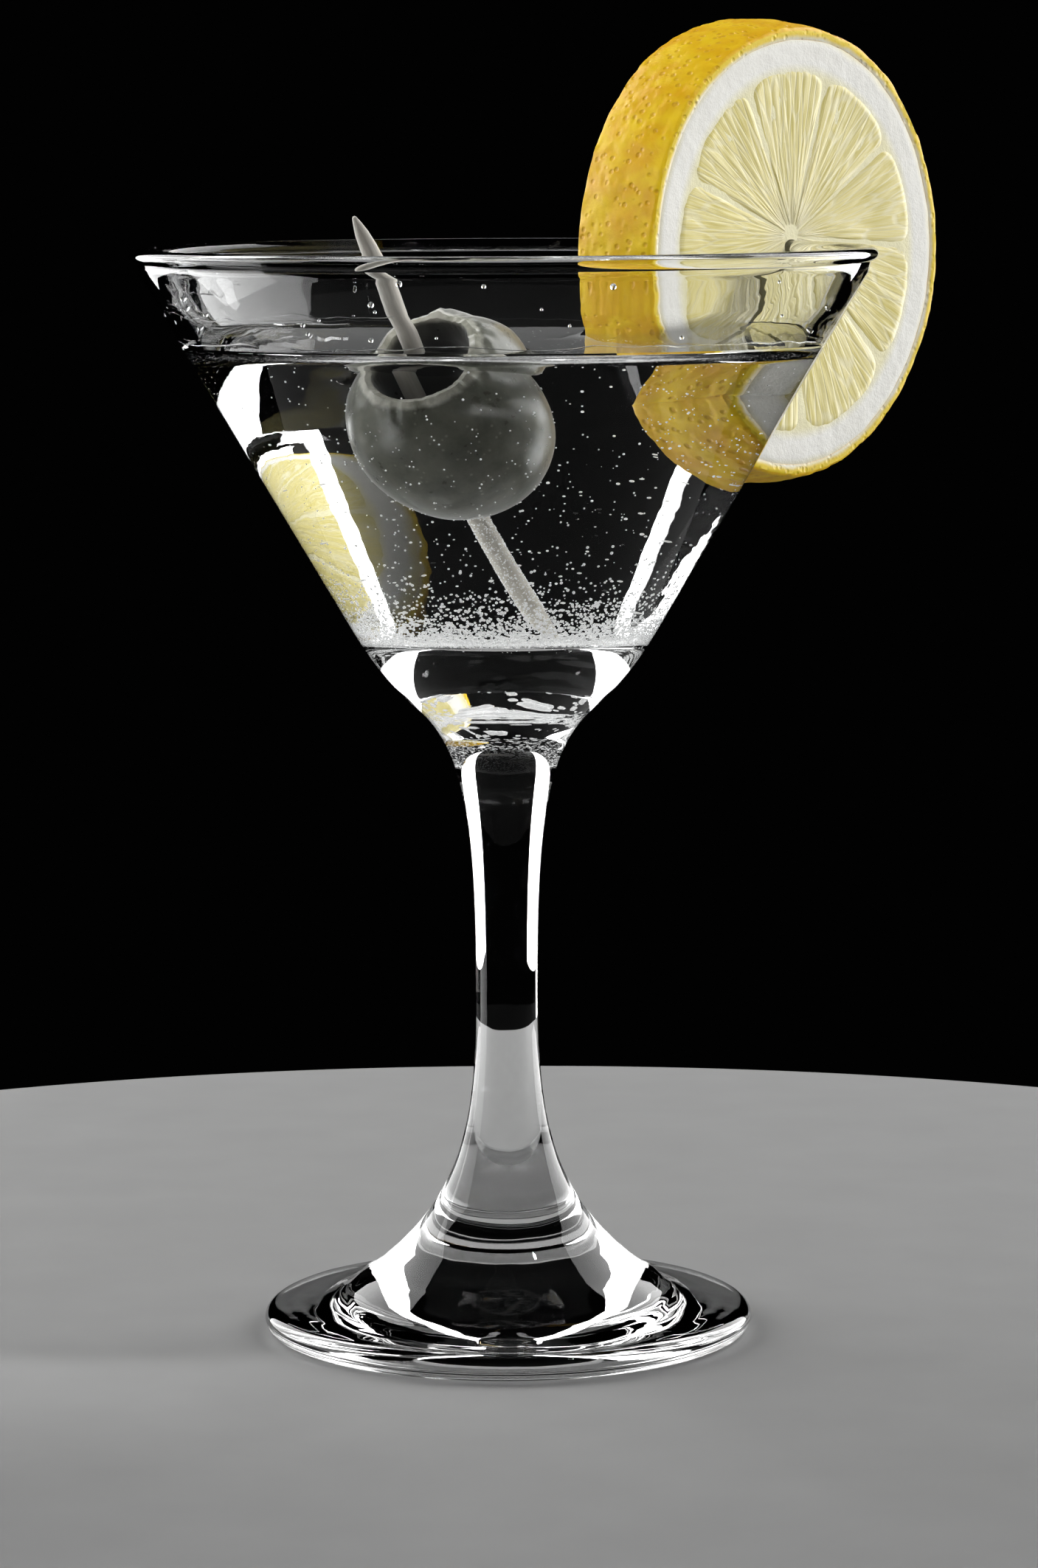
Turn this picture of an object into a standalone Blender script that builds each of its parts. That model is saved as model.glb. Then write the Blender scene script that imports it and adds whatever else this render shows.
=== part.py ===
"""A vodka martini: a stemmed cocktail glass of clear drink, with an olive on a
pick and a thick lemon wheel hung on the rim.

Metres, +Z up. The origin is the middle of the foot's flat underside, on the
glass's own axis. +X points right and +Y points away from the viewer.
"""

import math

import bmesh
import bpy
from mathutils import Vector

# --- Driving dimensions ------------------------------------------------------

GAP = 0.0003                 # clearance that neighbouring solids keep
ROUND_STEPS = 40             # facets round the glass and the drink

# Glass: lip and bowl
GLASS_HEIGHT = 0.1495
RIM_RADIUS = 0.0508
LIP_HALF_WIDTH = 0.00145
LIP_HALF_HEIGHT = 0.00105
LIP_Z = GLASS_HEIGHT - LIP_HALF_HEIGHT
LIP_ARC = (205, -72)         # degrees: where the lip leaves the inner and outer necks
CONE_SLOPE = 0.588           # how far the wall widens for each metre it climbs
CONE_RADIUS = 0.0509         # the outer cone, carried up to the lip's middle
WALL = 0.0028                # level thickness of the wall
NECK_DROP = 0.0024           # the outer cone starts this far below the lip's middle
INNER_NECK_DROP = 0.0017     # and the inner one this far
THIN_WALL = 0.0022           # level thickness right under the lip
THICK_DROP = 0.0080          # where the wall reaches its full thickness

# Glass: the bottom of the inside
FLOOR_Z = LIP_Z - 0.0515
FLOOR_RADIUS = 0.0100        # the flat middle of the floor
CORNER_RISE = 0.0045         # height over which floor and wall blend
CORNER_PULL = 0.55           # how full the blend is, as a share of its width

# Glass: outside, from the end of the cone down to the foot. A point is (radius,
# height), and the pulls say how far a curve follows the lean at each of its ends.
CONE_END_Z = 0.0972
SHOULDER = (0.0115, 0.0860)  # where the bowl's round turns over into the stem
SHOULDER_LEAN = math.radians(45.4)
SHOULDER_PULLS = (0.0084, 0.0020)
WAIST = (0.00425, 0.0480)
NECK_PULLS = (0.0081, 0.0227)
FLARE_END = (0.0220, 0.00595)
FLARE_LEAN = math.radians(55)
FLARE_PULLS = (0.0210, 0.0189)
FOOT_RADIUS = 0.0338
FOOT_EDGE = 0.00175          # radius of the foot's round edge
FOOT_LEAN = 84               # degrees: the foot's top still falls a little at its edge
FOOT_PULLS = (0.0045, 0.0030)

# Drink
DRINK_Z = LIP_Z - 0.0124
MENISCUS_RISE = 0.0013
MENISCUS_REACH = 0.0040
MENISCUS_LEAN = math.radians(25)
MENISCUS_PULLS = (0.0009, 0.0022)

# Olive: a pitted one, its open end towards the viewer and up
OLIVE_CENTRE = Vector((-0.0063, -0.0185, LIP_Z - 0.0192))
OLIVE_AXIS = Vector((-0.33, -0.68, 0.655)).normalized()
OLIVE_RADIUS = 0.0120
OLIVE_HALF_LENGTH = 0.0140
PIT_MOUTH = 0.0068
PIT_RADIUS = 0.0053
PIT_DEPTH = 0.0205
PIT_TAPER = 0.0040           # depth over which the mouth narrows into the pit
CUT_EDGE = (0.0006, 0.0002)  # the mouth's slanting edge, level and upright
OLIVE_STEPS = 28

# Pick: a round wooden stick, pointed at both ends
PICK_TOP = Vector((-0.0192, -0.0339, LIP_Z + 0.0058))
PICK_BOTTOM = Vector((0.0052, 0.0018, LIP_Z - 0.0496))
PICK_RADIUS = 0.00125
PICK_POINT = 0.0003
PICK_TAPER = 0.0075
PICK_TIP = 0.0002            # height of the rounded tip
PICK_SWELL = (0.45, 0.8)     # this far down the taper, it is this much of full width
PICK_STEPS = 12

# Lemon wheel: its plane runs nearly through the glass's axis
LEMON_CENTRE = Vector((0.0370, 0.0332, LIP_Z - 0.0007))
LEMON_TURN = math.radians(47.3)      # the face's level direction, from +X
LEMON_FRONT_RADIUS = 0.0315
LEMON_BACK_RADIUS = 0.0330
LEMON_THICKNESS = 0.0124
LEMON_BULGE = 0.0005
LEMON_UNEVEN = 0.010
LEMON_EDGE = 0.0004          # how far the rind's two edges are taken off
LEMON_STEPS = 64
SLIT_DEPTH = 0.040           # further down than the wheel reaches along the wall


# --- Outlines ----------------------------------------------------------------

def arc(centre, half_width, half_height, start, end, steps):
    """Points on an ellipse, as (radius, height); angles in degrees from +radius."""
    points = []
    for i in range(steps + 1):
        turn = math.radians(start + (end - start) * i / steps)
        points.append((centre[0] + half_width * math.cos(turn),
                       centre[1] + half_height * math.sin(turn)))
    return points


def sweep(start, end, start_lean, end_lean, pulls, steps):
    """A cubic curve downwards; each lean is measured from straight down, outwards."""
    first = Vector(start)
    last = Vector(end)
    leave = first + pulls[0] * Vector((math.sin(start_lean), -math.cos(start_lean)))
    arrive = last - pulls[1] * Vector((math.sin(end_lean), -math.cos(end_lean)))
    points = []
    for i in range(1, steps + 1):
        t = i / steps
        s = 1 - t
        point = s**3 * first + 3 * s * s * t * leave + 3 * s * t * t * arrive + t**3 * last
        points.append((point.x, point.y))
    return points


def cone_radius(z):
    """Radius of the outer cone at a height."""
    return CONE_RADIUS + CONE_SLOPE * (z - LIP_Z)


def inner_outline():
    """The inside of the bowl, from the middle of its floor up to under the lip."""
    corner_z = FLOOR_Z + CORNER_RISE
    corner = (cone_radius(corner_z) - WALL, corner_z)
    wall_lean = math.atan(CONE_SLOPE)
    pull = CORNER_PULL * (corner[0] - FLOOR_RADIUS)
    blend = sweep(corner, (FLOOR_RADIUS, FLOOR_Z), -wall_lean, -math.pi / 2, (pull, pull), 7)
    points = [(0.0, FLOOR_Z)] + blend[::-1] + [corner]
    thick_z = LIP_Z - THICK_DROP
    points.append((cone_radius(thick_z) - WALL, thick_z))
    neck_z = LIP_Z - INNER_NECK_DROP
    points.append((cone_radius(neck_z) - THIN_WALL, neck_z))
    return points


def lip_outline(grow=0.0):
    """Over the lip, from its inner side to the neck on its outer side."""
    centre = (RIM_RADIUS - LIP_HALF_WIDTH, LIP_Z)
    return arc(centre, LIP_HALF_WIDTH + grow, LIP_HALF_HEIGHT + grow, *LIP_ARC, 9)


def stem_outline():
    """The outside, from the neck down the bowl, stem and foot to the underside."""
    cone_lean = -math.atan(CONE_SLOPE)
    neck_z = LIP_Z - NECK_DROP
    points = [(cone_radius(neck_z), neck_z), (cone_radius(CONE_END_Z), CONE_END_Z)]
    points += sweep(points[-1], SHOULDER, cone_lean, -SHOULDER_LEAN, SHOULDER_PULLS, 5)
    points += sweep(SHOULDER, WAIST, -SHOULDER_LEAN, 0.0, NECK_PULLS, 9)
    points += sweep(WAIST, FLARE_END, 0.0, FLARE_LEAN, FLARE_PULLS, 10)
    edge_middle = (FOOT_RADIUS - FOOT_EDGE, FOOT_EDGE)
    edge = arc(edge_middle, FOOT_EDGE, FOOT_EDGE, FOOT_LEAN, -90, 7)
    points += sweep(FLARE_END, edge[0], FLARE_LEAN, math.radians(FOOT_LEAN), FOOT_PULLS, 4)
    return points + edge[1:] + [(0.0, 0.0)]


def glass_outline():
    """The whole section of the glass, from inside the bowl to under the foot."""
    return inner_outline() + lip_outline() + stem_outline()


def rim_cutter_outline():
    """A little more than the wall and lip, to cut the lemon's slit."""
    spare = GAP * math.hypot(1, CONE_SLOPE)
    low = LIP_Z - SLIT_DEPTH
    neck_z = LIP_Z - INNER_NECK_DROP
    thick_z = LIP_Z - THICK_DROP
    points = [(cone_radius(low) - WALL - spare, low),
              (cone_radius(thick_z) - WALL - spare, thick_z),
              (cone_radius(neck_z) - THIN_WALL - spare, neck_z)]
    points += lip_outline(GAP)
    neck_z = LIP_Z - NECK_DROP
    points += [(cone_radius(neck_z) + spare, neck_z), (cone_radius(low) + spare, low)]
    return points + [points[0]]


def drink_outline():
    """The drink, from the middle of its surface round its edge to the bottom."""
    spare = GAP * math.hypot(1, CONE_SLOPE)
    top_z = DRINK_Z + MENISCUS_RISE
    edge = cone_radius(top_z) - WALL - spare
    shore = edge - MENISCUS_REACH
    climb = sweep((edge, top_z), (shore, DRINK_Z), -MENISCUS_LEAN, -math.pi / 2,
                  MENISCUS_PULLS, 5)
    points = [(0.0, DRINK_Z)] + climb[::-1] + [(edge, top_z)]
    wall = [(radius - spare, z) for radius, z in inner_outline() if FLOOR_Z < z < DRINK_Z]
    points += wall[::-1]
    return points + [(FLOOR_RADIUS, FLOOR_Z + GAP), (0.0, FLOOR_Z + GAP)]


def olive_outline():
    """The olive about its own axis: down the pit's wall, over the mouth, down the skin."""
    mouth = math.degrees(math.acos(PIT_MOUTH / OLIVE_RADIUS))
    skin = arc((0.0, 0.0), OLIVE_RADIUS, OLIVE_HALF_LENGTH, mouth, -90, 14)
    mouth_z = skin[0][1]
    lip = (PIT_MOUTH - CUT_EDGE[0], mouth_z - CUT_EDGE[1])
    bottom_z = OLIVE_HALF_LENGTH - PIT_DEPTH
    bottom = arc((0.0, bottom_z + PIT_RADIUS), PIT_RADIUS, PIT_RADIUS, -90, 0, 4)
    skin[-1] = (0.0, -OLIVE_HALF_LENGTH)
    return [(0.0, bottom_z)] + bottom[1:] + [(PIT_RADIUS, mouth_z - PIT_TAPER), lip] + skin


def pick_outline(grow=0.0):
    """The pick about its own axis, its middle at the origin, top end first."""
    half = (PICK_TOP - PICK_BOTTOM).length / 2 + grow
    body = PICK_RADIUS + grow
    down, width = PICK_SWELL
    end = [(0.0, half), (PICK_POINT + grow, half - PICK_TIP),
           (width * body, half - down * PICK_TAPER), (body, half - PICK_TAPER)]
    return end + [(radius, -z) for radius, z in reversed(end)]


# --- Making objects ----------------------------------------------------------

def material(name, colour, roughness, transmission=0.0, ior=1.45):
    """A plain Principled material."""
    made = bpy.data.materials.new(name)
    made.use_nodes = True
    shader = made.node_tree.nodes["Principled BSDF"]
    shader.inputs["Base Color"].default_value = (*colour, 1.0)
    shader.inputs["Roughness"].default_value = roughness
    shader.inputs["Metallic"].default_value = 0.0
    shader.inputs["Transmission Weight"].default_value = transmission
    shader.inputs["IOR"].default_value = ior
    made.diffuse_color = (*colour, 1.0)
    return made


def add_object(name, mesh, finish=None):
    """Link a mesh as an object; one without a finish is a hidden cutter."""
    made = bpy.data.objects.new(name, mesh)
    bpy.context.scene.collection.objects.link(made)
    if finish is None:
        made.hide_render = True
        made.display_type = "WIRE"
    else:
        mesh.materials.append(finish)
    return made


def turned(name, outline, steps, finish=None):
    """Turn an outline round the object's own Z axis."""
    mesh = bpy.data.meshes.new(name)
    points = [(radius, 0.0, z) for radius, z in outline]
    closed = outline[0] == outline[-1]
    if closed:
        points.pop()
    edges = [(i, (i + 1) % len(points)) for i in range(len(outline) - 1)]
    mesh.from_pydata(points, edges, [])
    made = add_object(name, mesh, finish)
    screw = made.modifiers.new("Turn", "SCREW")
    screw.steps = steps
    screw.render_steps = steps
    screw.use_merge_vertices = True
    screw.merge_threshold = 0.00001
    return made


def aim(piece, centre, axis):
    """Stand a turned piece at a place, its own Z along an axis."""
    piece.rotation_mode = "QUATERNION"
    piece.rotation_quaternion = axis.to_track_quat("Z", "Y")
    piece.location = centre


def cut(piece, cutter):
    """Take the cutter out of the piece."""
    boolean = piece.modifiers.new("Cut " + cutter.name, "BOOLEAN")
    boolean.operation = "DIFFERENCE"
    boolean.solver = "EXACT"
    boolean.object = cutter


# --- The lemon wheel ---------------------------------------------------------

def lemon_scale(turn):
    """The wheel's outline is a little uneven, as a real fruit's is."""
    return 1 + LEMON_UNEVEN * (0.6 * math.cos(2 * turn - 1.1) + 0.4 * math.cos(5 * turn + 0.6))


def lemon_mesh(name, grow=0.0):
    """A thick wheel about Z, its front face up, wider at the back, with a bulging rind."""
    half = LEMON_THICKNESS / 2 + grow
    rows = []
    for share, inset in ((0.0, LEMON_EDGE), (0.03, 0.0), (0.35, 0.0), (0.7, 0.0), (0.97, 0.0),
                         (1.0, LEMON_EDGE)):
        radius = LEMON_FRONT_RADIUS + (LEMON_BACK_RADIUS - LEMON_FRONT_RADIUS) * share
        radius += LEMON_BULGE * math.sin(math.pi * share) - inset + grow
        rows.append((radius, half - 2 * half * share))
    shape = bmesh.new()
    rings = []
    for radius, z in rows:
        ring = []
        for i in range(LEMON_STEPS):
            turn = 2 * math.pi * i / LEMON_STEPS
            reach = radius * lemon_scale(turn)
            ring.append(shape.verts.new((reach * math.cos(turn), reach * math.sin(turn), z)))
        rings.append(ring)
    for upper, lower in zip(rings, rings[1:]):
        for i in range(LEMON_STEPS):
            j = (i + 1) % LEMON_STEPS
            shape.faces.new((upper[i], lower[i], lower[j], upper[j]))
    shape.faces.new(rings[0])
    shape.faces.new(rings[-1][::-1])
    bmesh.ops.recalc_face_normals(shape, faces=shape.faces)
    mesh = bpy.data.meshes.new(name)
    shape.to_mesh(mesh)
    shape.free()
    mesh.shade_smooth()
    mesh.set_sharp_from_angle(angle=math.radians(30))
    return mesh


# --- Building ----------------------------------------------------------------

def clear_scene():
    for old in list(bpy.data.objects):
        bpy.data.objects.remove(old, do_unlink=True)


def place_olive(piece):
    aim(piece, OLIVE_CENTRE, OLIVE_AXIS)


def place_pick(piece):
    aim(piece, (PICK_TOP + PICK_BOTTOM) / 2, (PICK_TOP - PICK_BOTTOM).normalized())


def place_lemon(piece):
    piece.rotation_euler = (math.pi / 2, 0.0, LEMON_TURN)
    piece.location = LEMON_CENTRE


def solid_olive_outline():
    """The olive with its pit filled and GAP all round, to cut the drink."""
    skin = arc((0.0, 0.0), OLIVE_RADIUS + GAP, OLIVE_HALF_LENGTH + GAP, 90, -90, 16)
    skin[0] = (0.0, OLIVE_HALF_LENGTH + GAP)
    skin[-1] = (0.0, -OLIVE_HALF_LENGTH - GAP)
    return skin


def build():
    clear_scene()
    clear_glass = material("clear_glass", (0.93, 0.95, 0.95), 0.02, 1.0, 1.52)
    clear_drink = material("clear_drink", (0.92, 0.95, 0.96), 0.02, 1.0, 1.36)
    olive_skin = material("olive_skin", (0.33, 0.36, 0.20), 0.35)
    pale_wood = material("pale_wood", (0.78, 0.66, 0.47), 0.6)
    lemon_flesh = material("lemon_flesh", (0.93, 0.80, 0.30), 0.4)

    glass = turned("glass", glass_outline(), ROUND_STEPS, clear_glass)
    drink = turned("drink", drink_outline(), ROUND_STEPS, clear_drink)
    olive = turned("olive", olive_outline(), OLIVE_STEPS, olive_skin)
    place_olive(olive)
    pick = turned("pick", pick_outline(), PICK_STEPS, pale_wood)
    place_pick(pick)
    lemon = add_object("lemon_slice", lemon_mesh("lemon_slice"), lemon_flesh)
    place_lemon(lemon)

    olive_cutter = turned("olive_room", solid_olive_outline(), OLIVE_STEPS)
    place_olive(olive_cutter)
    pick_cutter = turned("pick_room", pick_outline(GAP), PICK_STEPS)
    place_pick(pick_cutter)
    lemon_cutter = add_object("lemon_room", lemon_mesh("lemon_room", GAP))
    place_lemon(lemon_cutter)
    rim_cutter = turned("rim_room", rim_cutter_outline(), ROUND_STEPS)

    cut(lemon, rim_cutter)
    cut(olive, pick_cutter)
    for cutter in (olive_cutter, pick_cutter, lemon_cutter):
        cut(drink, cutter)


build()
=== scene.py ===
# %% [markdown]
# # A vodka martini, piece by piece
#
# This lesson dresses a plain model of a martini: a stemmed cocktail glass of clear
# drink, a pitted olive on a wooden pick, and a thick lemon wheel hung on the rim.
# The plain model gives every place and size. Each cell below makes one finer piece
# or one finish, in metres, with +Z up and the glass's own axis at X = Y = 0.

# %% Load the plain model
import math
import random

import bpy
import numpy as np
from mathutils import Euler, Matrix, Vector, noise


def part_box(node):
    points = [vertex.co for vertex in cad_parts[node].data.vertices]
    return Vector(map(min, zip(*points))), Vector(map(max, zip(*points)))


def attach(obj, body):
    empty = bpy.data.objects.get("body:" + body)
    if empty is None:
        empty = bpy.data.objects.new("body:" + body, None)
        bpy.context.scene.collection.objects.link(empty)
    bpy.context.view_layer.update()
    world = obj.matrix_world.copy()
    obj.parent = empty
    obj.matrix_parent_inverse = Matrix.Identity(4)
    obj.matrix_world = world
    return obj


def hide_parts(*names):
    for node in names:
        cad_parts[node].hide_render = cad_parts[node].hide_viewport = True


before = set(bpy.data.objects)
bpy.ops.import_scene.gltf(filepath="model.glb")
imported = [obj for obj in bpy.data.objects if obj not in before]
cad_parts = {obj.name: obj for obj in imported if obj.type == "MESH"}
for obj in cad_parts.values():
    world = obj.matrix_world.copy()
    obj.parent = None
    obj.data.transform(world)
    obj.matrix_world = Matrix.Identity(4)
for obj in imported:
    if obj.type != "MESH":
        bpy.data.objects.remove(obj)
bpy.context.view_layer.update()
print("nodes:", sorted(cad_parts))

# %% [markdown]
# ## The sizes that everything follows
#
# The glass's height and rim come from the loaded model. The other numbers are the
# few that describe its section: a lip, a cone, a thick flat floor, a drawn stem and
# a domed foot. A point is (radius, height).

# %% Sizes
GLASS_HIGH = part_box("glass")[1]
RIM_RADIUS = GLASS_HIGH.x
LIP_HALF_WIDTH = 0.00145
LIP_HALF_HEIGHT = 0.00105
LIP_Z = GLASS_HIGH.z - LIP_HALF_HEIGHT
CONE_SLOPE = 0.588
CONE_RADIUS = 0.0509
WALL = 0.0028
BOWL_FLOOR_Z = LIP_Z - 0.0515
BOWL_FLOOR_RADIUS = 0.0100
CORNER_RISE = 0.0045          # from the bowl's floor to where the cone starts
CONE_END_Z = 0.0972
SHOULDER = (0.0115, 0.0860)
WAIST = (0.00425, 0.0480)
FLARE_END = (0.0220, 0.00595)
FOOT_RADIUS = 0.0338
FOOT_EDGE = 0.00175           # half the thickness of the foot's rounded edge
DRINK_Z = LIP_Z - 0.0124
EDGE_RISE = 0.0013            # how far the drink climbs up the wall
WET_Z = DRINK_Z + EDGE_RISE
AROUND = 192                  # steps of the spin for the glass and the drink
print("lip at", round(LIP_Z, 5), "rim radius", round(RIM_RADIUS, 5))

# %% [markdown]
# ## The camera
#
# The camera stands a little above the rim and looks down by about seven degrees,
# with a long lens, so that the rim shows as a thin ellipse.

# %% Camera
CAMERA_PLACE = (0.0018, -0.7035, LIP_Z + 0.01842)
CAMERA_LENS = 118.5           # mm, on a frame 36 mm high
LOOK_DOWN = 7.36              # degrees
CAMERA_ROLL = -0.24           # degrees

camera_data = bpy.data.cameras.new("camera")
camera_data.sensor_fit = "VERTICAL"
camera_data.sensor_height = 36.0
camera_data.lens = CAMERA_LENS
camera = bpy.data.objects.new("camera", camera_data)
bpy.context.scene.collection.objects.link(camera)
camera.location = CAMERA_PLACE
camera.rotation_euler = (math.radians(90 - LOOK_DOWN), 0.0, 0.0)
camera.rotation_euler.rotate_axis("Z", math.radians(CAMERA_ROLL))
bpy.context.scene.camera = camera

# %% [markdown]
# ## Light for clear glass
#
# Clear glass shows only what it bends and mirrors. Two tall soft boxes stand behind
# it to the left and right in a dark room: each outline of the glass then carries a
# bright band, and its middle stays dark and clear. A weaker box at the left lights
# the olive and the rind. Two spots light the lemon and one the top of the pick and
# the olive, which no box faces. The floor is a plain pale disc.

# %% Lights and room
BOX_TARGET = (0.0, 0.0, 0.085)
BOX_HEIGHT = 1.10
WHEEL_TARGET = (0.040, 0.036, LIP_Z + 0.004)
MOUTH_TARGET = (-0.013, -0.024, LIP_Z - 0.006)
ROOM_SHADE = (0.0006, 0.0006, 0.0006, 1.0)


def hang_lamp(name, kind, place, target, power):
    """A lamp that faces its target. Its data is returned, for the caller to shape."""
    data = bpy.data.lights.new(name, kind)
    data.energy = power
    lamp = bpy.data.objects.new(name, data)
    bpy.context.scene.collection.objects.link(lamp)
    lamp.location = place
    facing = Vector(place) - Vector(target)
    lamp.rotation_euler = facing.to_track_quat("Z", "Y").to_euler()
    return data


def soft_box(name, place, width, power):
    """A tall rectangular area light that faces the middle of the glass."""
    data = hang_lamp(name, "AREA", place, BOX_TARGET, power)
    data.shape = "RECTANGLE"
    data.size = width
    data.size_y = BOX_HEIGHT


def soft_spot(name, place, target, power):
    """A narrow, soft spot light that reaches only what lies round the target."""
    data = hang_lamp(name, "SPOT", place, target, power)
    data.spot_size = math.radians(4.6)
    data.spot_blend = 0.35
    data.shadow_soft_size = 0.06


soft_box("left back box", (-0.66, 0.58, 0.40), 0.66, 9.0)
soft_box("right back box", (0.72, 0.52, 0.40), 0.86, 13.0)
soft_box("left side box", (-0.85, 0.12, 0.12), 0.56, 7.0)
soft_spot("face spot", (0.78, -0.60, 0.50), WHEEL_TARGET, 47.0)
soft_spot("rind spot", (-0.62, -0.62, 0.62), WHEEL_TARGET, 24.0)
soft_spot("pick spot", (0.22, -0.16, 0.80), MOUTH_TARGET, 30.0)

room = bpy.data.worlds.new("dark room")
bpy.context.scene.world = room
room.use_nodes = True
room.node_tree.nodes["Background"].inputs["Color"].default_value = ROOM_SHADE
bpy.context.scene.view_settings.view_transform = "Standard"
print("lamps:", [lamp.name for lamp in bpy.data.lights])

# %% Floor
DISC_RADIUS = 0.20
DISC_THICKNESS = 0.006
DISC_BEVEL = 0.0015
DISC_GAP = 0.0001             # keeps the disc's top clear of the foot's underside
DISC_SHADES = ((0.31, 0.31, 0.31), (0.35, 0.35, 0.35))

bpy.ops.object.select_all(action="DESELECT")
bpy.ops.mesh.primitive_cylinder_add(vertices=256, radius=DISC_RADIUS, depth=DISC_THICKNESS,
                                    location=(0.0, 0.0, -DISC_THICKNESS / 2 - DISC_GAP))
floor = bpy.context.object
floor.name = "floor"
bpy.ops.object.mode_set(mode="EDIT")
bpy.ops.mesh.select_mode(type="FACE")
bpy.ops.mesh.bevel(offset=DISC_BEVEL, segments=3, affect="EDGES")
bpy.ops.object.mode_set(mode="OBJECT")
bpy.ops.object.transform_apply(location=True, rotation=True, scale=True)

# %% [markdown]
# ## Writing finishes as sums
#
# A finish is a net of shader nodes. The class below wraps one output of a node, so
# that a pattern can be written as a sum: `1 - mask` adds the Math node by itself.
# Any other node comes from the one method `node`.

# %% The Wire class
class Wire:
    """One output of a node, which can be added, multiplied and fed on."""

    def __init__(self, tree, socket=None):
        self.tree = tree
        self.socket = socket

    def node(self, kind, settings=None, inputs=None, out=0):
        """Add a node: its settings first, then the values or links of its inputs."""
        made = self.tree.nodes.new("ShaderNode" + kind)
        for key, value in (settings or {}).items():
            setattr(made, key, value)
        for key, value in (inputs or {}).items():
            if isinstance(value, Wire):
                self.tree.links.new(value.socket, made.inputs[key])
            else:
                made.inputs[key].default_value = value
        return Wire(self.tree, made.outputs[out])

    def math(self, operation, first, second=0.0):
        """A Math node; either value may be a wire or a number."""
        return self.node("Math", {"operation": operation}, {0: first, 1: second})

    def __add__(self, other):
        return self.math("ADD", self, other)

    def __radd__(self, other):
        return self.math("ADD", other, self)

    def __sub__(self, other):
        return self.math("SUBTRACT", self, other)

    def __rsub__(self, other):
        return self.math("SUBTRACT", other, self)

    def __mul__(self, other):
        return self.math("MULTIPLY", self, other)

    def __rmul__(self, other):
        return self.math("MULTIPLY", other, self)

    def __pow__(self, other):
        return self.math("POWER", self, other)


def rise(value, low, high):
    """0 below low, 1 above high, and a smooth step between them."""
    return value.node("MapRange", {"interpolation_type": "SMOOTHSTEP"},
                      {"Value": value, "From Min": low, "From Max": high})


def mix_colours(share, first, second):
    """The first colour where share is 0, the second where it is 1."""
    first, second = [c if isinstance(c, Wire) else (*c, 1.0) for c in (first, second)]
    return share.node("Mix", {"data_type": "RGBA"}, {0: share, 6: first, 7: second}, out=2)


def rough(wire, place, scale, detail, roughness):
    """Soft noise at a place, from 0 to 1."""
    return wire.node("TexNoise", None, {"Vector": place, "Scale": scale, "Detail": detail,
                                        "Roughness": roughness})


def bump(wire, height, strength, distance):
    """A bump for the Normal socket."""
    return wire.node("Bump", None, {"Height": height, "Strength": strength, "Distance": distance})


def new_finish(name, **constants):
    """A material, its Principled shader with plain values set, and a Wire to start from."""
    made = bpy.data.materials.new(name)
    made.use_nodes = True
    shader = made.node_tree.nodes["Principled BSDF"]
    for socket, value in constants.items():
        shader.inputs[socket.replace("_", " ")].default_value = value
    return made, shader, Wire(made.node_tree)


def feed(shader, **links):
    """Link wires to the shader's sockets."""
    for socket, wire in links.items():
        wire.tree.links.new(wire.socket, shader.inputs[socket.replace("_", " ")])


def object_place(start):
    """Object coordinates, which every pattern here is drawn in."""
    return start.node("TexCoord", None, None, out="Object")


def own_place(start, centre, turned):
    """A piece's own coordinates, as one vector and as its x, y and z."""
    local = start.node("Mapping", {"vector_type": "TEXTURE"},
                       {"Vector": object_place(start), "Location": centre, "Rotation": turned})
    return local, *[start.node("SeparateXYZ", None, {0: local}, out=axis) for axis in range(3)]


def from_axis(x, y):
    """Distance from the axis, from the two coordinates across it."""
    return (x * x + y * y) ** 0.5


# %% Floor finish
floor_finish, shader, start = new_finish("floor_pale", Roughness=0.6, Specular_IOR_Level=0.15)
speck = rough(start, object_place(start), 60.0, 2.0, 0.5)
feed(shader, Base_Color=mix_colours(speck, *DISC_SHADES))
floor.data.materials.append(floor_finish)

# %% [markdown]
# ## Small helpers for modelling
#
# Operators act on everything that is selected, so each piece starts by clearing the
# selection. Turned pieces are drawn as an outline: one point is extruded again and
# again, and the chain is spun round the Z axis.

# %% Modelling helpers
SHARP_ANGLE = 40              # degrees; sharper edges than this aren't shaded smooth


def select_only(piece):
    """Make this the one selected and active object."""
    bpy.ops.object.select_all(action="DESELECT")
    piece.select_set(True)
    bpy.context.view_layer.objects.active = piece


def draw_outline(name, points):
    """A chain of (radius, height) points, drawn by extruding one point."""
    bpy.ops.object.select_all(action="DESELECT")
    bpy.ops.mesh.primitive_plane_add(size=0.001)
    piece = bpy.context.object
    piece.name = name
    bpy.ops.object.mode_set(mode="EDIT")
    bpy.ops.mesh.select_mode(type="VERT")
    bpy.ops.mesh.merge(type="CENTER")
    bpy.ops.transform.translate(value=(points[0][0], 0.0, points[0][1]))
    for before, after in zip(points, points[1:]):
        step = (after[0] - before[0], 0.0, after[1] - before[1])
        bpy.ops.mesh.extrude_region_move(TRANSFORM_OT_translate={"value": step})
    bpy.ops.object.mode_set(mode="OBJECT")
    return piece


def turn_outline(name, points, steps, merge=0.000002):
    """Spin an outline all the way round the Z axis into one closed skin."""
    piece = draw_outline(name, points)
    bpy.ops.object.mode_set(mode="EDIT")
    bpy.ops.mesh.select_all(action="SELECT")
    bpy.ops.mesh.spin(steps=steps, angle=2 * math.pi, center=(0, 0, 0), axis=(0, 0, 1))
    bpy.ops.mesh.select_all(action="SELECT")
    bpy.ops.mesh.remove_doubles(threshold=merge)
    bpy.ops.mesh.normals_make_consistent(inside=False)
    bpy.ops.object.mode_set(mode="OBJECT")
    return piece


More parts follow.
